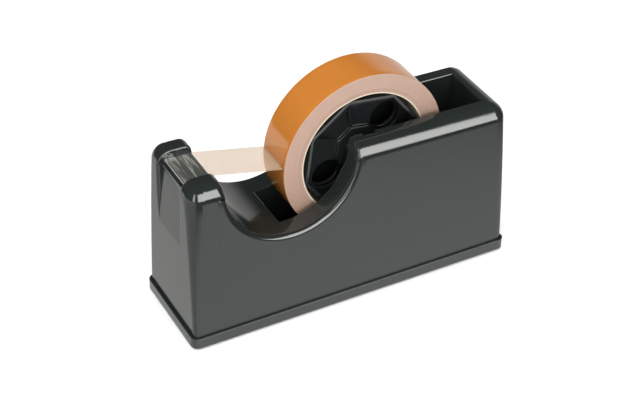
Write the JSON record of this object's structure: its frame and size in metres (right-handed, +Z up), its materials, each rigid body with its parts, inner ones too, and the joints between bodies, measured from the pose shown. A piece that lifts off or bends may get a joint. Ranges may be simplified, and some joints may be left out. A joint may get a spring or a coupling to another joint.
{
  "type": "tape dispenser",
  "caption": "Weighted bench dispenser with a scooped finger trough, a lift-out hub and spindle that carries a roll of packing tape, and a serrated cutter.",
  "frame": {"origin": "on the bench, under the middle of the base tray", "axes": "+X towards the rear, away from the cutter, +Y across to the far side, +Z up"},
  "size_m": [0.204, 0.065, 0.135],
  "materials": {
    "shell_plastic": "gloss",
    "tray_plastic": "gloss",
    "hub_plastic": "gloss",
    "weight_iron": "as cast",
    "screw_steel": "zinc plated",
    "blade_steel": "bright",
    "foot_rubber": "matt",
    "core_card": "matt",
    "wound_tape": "gloss",
    "clear_tape": "gloss"
  },
  "bodies": {
    "dispenser": {"body_shell": "shell_plastic", "base_tray": "tray_plastic", "front_weight": "weight_iron", "floor_weight": "weight_iron", "base_screws": "screw_steel", "foot_front_near": "foot_rubber", "foot_front_far": "foot_rubber", "foot_rear_near": "foot_rubber", "foot_rear_far": "foot_rubber", "cutter_blade": "blade_steel", "tape_strip": "clear_tape"},
    "spindle": {"spindle": "hub_plastic"},
    "roll": {"hub_near_half": "hub_plastic", "hub_far_half": "hub_plastic", "card_core": "core_card", "tape_winding": "wound_tape"}
  },
  "joints": [
    {"name": "spindle_lift", "type": "slide", "parent": "dispenser", "child": "spindle", "axis": [0, 0, 1], "range_m": [0, 0.075]},
    {"name": "roll_spin", "type": "hinge", "parent": "spindle", "child": "roll", "pos_m": [0.014, 0, 0.0848], "axis": [0, 1, 0], "continuous": true}
  ]
}
